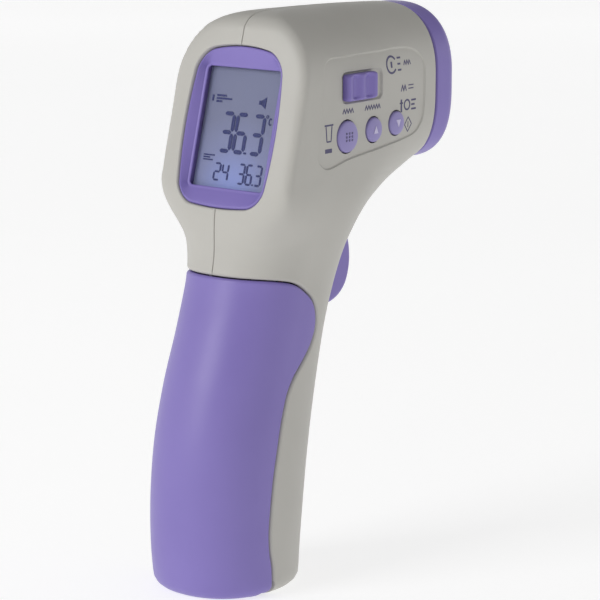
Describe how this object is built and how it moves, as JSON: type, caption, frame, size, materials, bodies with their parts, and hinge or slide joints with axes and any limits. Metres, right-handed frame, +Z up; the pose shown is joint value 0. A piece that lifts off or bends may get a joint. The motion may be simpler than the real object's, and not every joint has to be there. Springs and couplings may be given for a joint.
{
  "type": "digital thermometer",
  "caption": "Pistol-shaped non-contact forehead thermometer with tilted display, side keys, slide switch, trigger and hinged battery cover in the grip.",
  "frame": {"origin": "centre of the overall box's bottom face: in the plane where the shell halves meet, at the height of the flat end of the grip", "axes": "+Z up, +Y the way the sensor points, +X towards the side with the keys"},
  "size_m": [0.0446, 0.0966, 0.1499],
  "materials": {
    "shell_plastic": "fine satin moulded texture, warm light grey",
    "purple_plastic": "satin moulded plastic, violet",
    "black_plastic": "matt black moulding",
    "clear_window": "clear acrylic window",
    "lcd_glass": "grey-blue liquid crystal panel",
    "light_guide": "white diffusing light guide",
    "contact_rubber": "conductive rubber strip",
    "circuit_board": "green solder-masked laminate",
    "sensor_brass": "turned brass",
    "steel": "plated steel",
    "infrared_window": "dark infrared filter",
    "cell_jacket": "metal can in a plain dark jacket",
    "red_wire": "insulated wire, red"
  },
  "bodies": {
    "housing": {"backlight": "light_guide", "battery_tray": "black_plastic", "black_lead": "black_plastic", "bridge_contact": "steel", "buzzer": "black_plastic", "contact_strip": "contact_rubber", "cover_hinge_pin": "steel", "display_bezel": "purple_plastic", "display_board": "circuit_board", "display_window": "clear_window", "down_key_switch": "black_plastic", "lcd_panel": "lcd_glass", "left_battery_spring": "steel", "left_cell": "cell_jacket", "main_board": "circuit_board", "main_chip": "black_plastic", "mode_key_switch": "black_plastic", "negative_contact": "steel", "nose_ring": "purple_plastic", "positive_contact": "steel", "red_lead": "red_wire", "right_battery_spring": "steel", "right_cell": "cell_jacket", "screw_1": "steel", "screw_2": "steel", "screw_3": "steel", "screw_4": "steel", "screw_5": "steel", "sensor_barrel": "sensor_brass", "sensor_board": "circuit_board", "sensor_can": "steel", "sensor_funnel": "black_plastic", "sensor_window": "infrared_window", "shell_left": "shell_plastic", "shell_right": "shell_plastic", "slide_switch": "black_plastic", "trigger_pin": "steel", "trigger_spring": "steel", "trigger_switch": "black_plastic", "up_key_switch": "black_plastic"},
    "mode_key": {"mode_button": "purple_plastic"},
    "up_key": {"up_button": "purple_plastic"},
    "down_key": {"down_button": "purple_plastic"},
    "slider": {"slide_knob": "purple_plastic"},
    "trigger_lever": {"trigger": "purple_plastic"},
    "battery_door": {"battery_cover": "purple_plastic"}
  },
  "joints": [
    {"name": "mode_press", "type": "slide", "parent": "housing", "child": "mode_key", "axis": [-1, 0, 0], "range_m": [0, 0.0006], "stiffness_N_per_m": 400, "springref_m": -0.0004},
    {"name": "up_press", "type": "slide", "parent": "housing", "child": "up_key", "axis": [-1, 0, 0], "range_m": [0, 0.0006], "stiffness_N_per_m": 400, "springref_m": -0.0004},
    {"name": "down_press", "type": "slide", "parent": "housing", "child": "down_key", "axis": [-1, 0, 0], "range_m": [0, 0.0006], "stiffness_N_per_m": 400, "springref_m": -0.0004},
    {"name": "mode_slide", "type": "slide", "parent": "housing", "child": "slider", "axis": [0, 1, 0], "range_m": [0, 0.003]},
    {"name": "trigger_pull", "type": "hinge", "parent": "housing", "child": "trigger_lever", "pos_m": [0, 0.00451, 0.0935], "axis": [-1, 0, 0], "range_deg": [0, 7], "stiffness_Nm_per_rad": 0.06, "springref_deg": -6.88},
    {"name": "cover_hinge", "type": "hinge", "parent": "housing", "child": "battery_door", "pos_m": [0, -0.03139, 0.0022], "axis": [1, 0, 0], "range_deg": [0, 70]}
  ]
}
